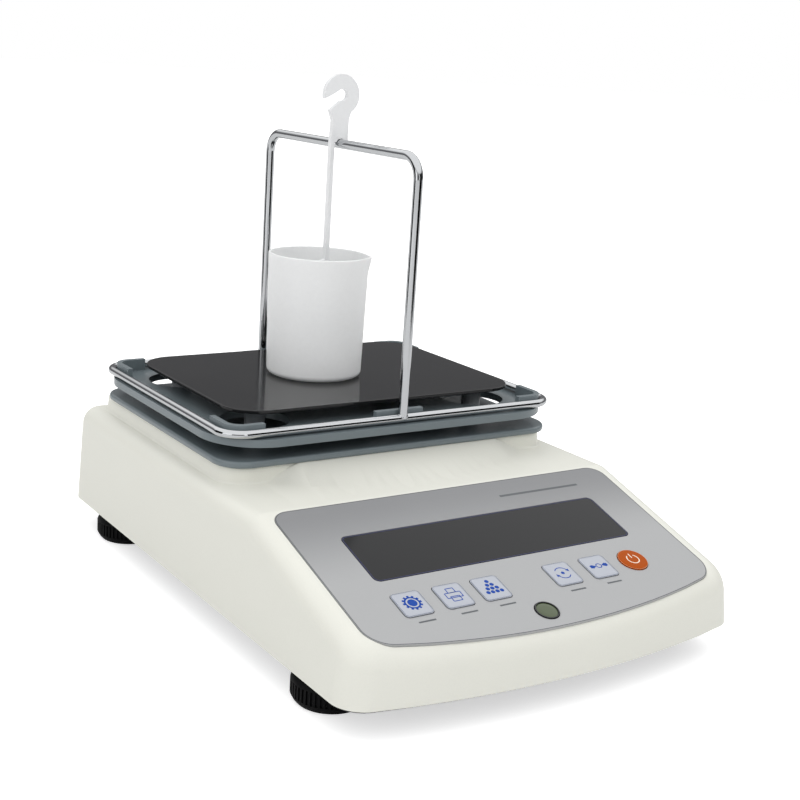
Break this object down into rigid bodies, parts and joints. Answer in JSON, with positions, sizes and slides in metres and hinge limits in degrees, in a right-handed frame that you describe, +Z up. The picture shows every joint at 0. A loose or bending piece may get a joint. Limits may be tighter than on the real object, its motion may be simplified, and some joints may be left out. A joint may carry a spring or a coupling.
{
  "type": "benchtop density meter",
  "caption": "Benchtop density meter: a low weighing housing with sloped console, a wire arch over a cup on a fixed table, a hanger with sinker, and turning feet.",
  "frame": {"origin": "on the bench, under the middle of the bounding box", "axes": "+X to the right seen from the console, +Y to the rear, +Z up"},
  "size_m": [0.214, 0.3076, 0.2513],
  "materials": {
    "housing": "fine-grained pale ABS",
    "base": "dark moulded base",
    "steel": "plated steel screws",
    "panel": "silver-grey printed film",
    "window": "smoked clear window",
    "display": "display module",
    "board": "circuit board",
    "electronic": "electronic parts",
    "key": "silvery key caps",
    "power": "orange key cap",
    "vial": "green level liquid",
    "black": "black moulding",
    "cell": "milled aluminium",
    "zinc": "cast bracket, painted grey",
    "pad": "soft pads",
    "tray": "grey moulded tray",
    "lower": "grey moulded tray",
    "table": "black coated plate",
    "post": "dark post",
    "wire": "polished wire",
    "cup": "translucent white",
    "hanger": "white moulding",
    "sinker": "clear glass",
    "foot": "knurled black knob",
    "brass": "brass nut"
  },
  "bodies": {
    "housing": {"base_plate": "base", "top_cover": "housing", "cover_screws": "steel", "rear_plate": "base", "power_socket": "black", "serial_port": "steel", "front_panel": "panel", "display_window": "window", "display_module": "display", "display_board": "board", "keypad_board": "board", "key_switches": "electronic", "level_vial": "vial", "level_ring": "black", "main_board": "board", "board_parts": "electronic", "board_standoffs": "steel", "load_cell": "cell", "load_cell_block": "cell", "load_cell_screws": "steel", "overload_stop": "steel", "lower_tray": "lower", "lower_tray_screws": "steel", "table_posts": "post", "table_plate": "table", "foot_nuts": "brass"},
    "pan": {"pan_bracket": "zinc", "bracket_screws": "steel", "pan_support": "zinc", "pan_pads": "pad", "weighing_tray": "tray"},
    "frame": {"frame_ring": "wire", "frame_arch": "wire"},
    "hanger": {"hanger": "hanger", "sinker_loop": "wire", "sinker": "sinker"},
    "cup": {"cup": "cup"},
    "menu_key": {"menu_key": "key"},
    "record_key": {"record_key": "key"},
    "start_key": {"start_key": "key"},
    "mode_key": {"mode_key": "key"},
    "zero_key": {"zero_key": "key"},
    "power_key": {"power_key": "power"},
    "front_left_stud": {"front_left_stud": "steel"},
    "front_left_knob": {"front_left_knob": "foot"},
    "front_right_stud": {"front_right_stud": "steel"},
    "front_right_knob": {"front_right_knob": "foot"},
    "rear_left_stud": {"rear_left_stud": "steel"},
    "rear_left_knob": {"rear_left_knob": "foot"},
    "rear_right_stud": {"rear_right_stud": "steel"},
    "rear_right_knob": {"rear_right_knob": "foot"}
  },
  "joints": [
    {"name": "pan_deflection", "type": "slide", "parent": "housing", "child": "pan", "axis": [0, 0, 1], "range_m": [-0.0003, 0], "stiffness_N_per_m": 60000},
    {"name": "frame_lift", "type": "slide", "parent": "pan", "child": "frame", "axis": [0, 0, 1], "range_m": [0, 0.08]},
    {"name": "hanger_lift", "type": "slide", "parent": "frame", "child": "hanger", "axis": [0, 0, 1], "range_m": [0, 0.05]},
    {"name": "cup_lift", "type": "slide", "parent": "housing", "child": "cup", "axis": [0, 0, 1], "range_m": [0, 0.018]},
    {"name": "menu_key_press", "type": "slide", "parent": "housing", "child": "menu_key", "axis": [0, 0.2874, -0.9578], "range_m": [0, 0.0005], "stiffness_N_per_m": 800},
    {"name": "record_key_press", "type": "slide", "parent": "housing", "child": "record_key", "axis": [0, 0.2874, -0.9578], "range_m": [0, 0.0005], "stiffness_N_per_m": 800},
    {"name": "start_key_press", "type": "slide", "parent": "housing", "child": "start_key", "axis": [0, 0.2874, -0.9578], "range_m": [0, 0.0005], "stiffness_N_per_m": 800},
    {"name": "mode_key_press", "type": "slide", "parent": "housing", "child": "mode_key", "axis": [0, 0.2874, -0.9578], "range_m": [0, 0.0005], "stiffness_N_per_m": 800},
    {"name": "zero_key_press", "type": "slide", "parent": "housing", "child": "zero_key", "axis": [0, 0.2874, -0.9578], "range_m": [0, 0.0005], "stiffness_N_per_m": 800},
    {"name": "power_key_press", "type": "slide", "parent": "housing", "child": "power_key", "axis": [0, 0.2874, -0.9578], "range_m": [0, 0.0005], "stiffness_N_per_m": 800},
    {"name": "front_left_thread", "type": "slide", "parent": "housing", "child": "front_left_stud", "axis": [0, 0, -1], "range_m": [0, 0.005]},
    {"name": "front_left_turn", "type": "hinge", "parent": "front_left_stud", "child": "front_left_knob", "pos_m": [-0.089, -0.1005, 0.0066], "axis": [0, 0, -1], "range_deg": [0, 1800]},
    {"name": "front_right_thread", "type": "slide", "parent": "housing", "child": "front_right_stud", "axis": [0, 0, -1], "range_m": [0, 0.005]},
    {"name": "front_right_turn", "type": "hinge", "parent": "front_right_stud", "child": "front_right_knob", "pos_m": [0.089, -0.1005, 0.0066], "axis": [0, 0, -1], "range_deg": [0, 1800]},
    {"name": "rear_left_thread", "type": "slide", "parent": "housing", "child": "rear_left_stud", "axis": [0, 0, -1], "range_m": [0, 0.005]},
    {"name": "rear_left_turn", "type": "hinge", "parent": "rear_left_stud", "child": "rear_left_knob", "pos_m": [-0.089, 0.1145, 0.0066], "axis": [0, 0, -1], "range_deg": [0, 1800]},
    {"name": "rear_right_thread", "type": "slide", "parent": "housing", "child": "rear_right_stud", "axis": [0, 0, -1], "range_m": [0, 0.005]},
    {"name": "rear_right_turn", "type": "hinge", "parent": "rear_right_stud", "child": "rear_right_knob", "pos_m": [0.089, 0.1145, 0.0066], "axis": [0, 0, -1], "range_deg": [0, 1800]}
  ],
  "couplings": [
    {"joint": "front_left_thread", "follows": "front_left_turn", "m_per_rad": 0.00015915},
    {"joint": "front_right_thread", "follows": "front_right_turn", "m_per_rad": 0.00015915},
    {"joint": "rear_left_thread", "follows": "rear_left_turn", "m_per_rad": 0.00015915},
    {"joint": "rear_right_thread", "follows": "rear_right_turn", "m_per_rad": 0.00015915}
  ]
}
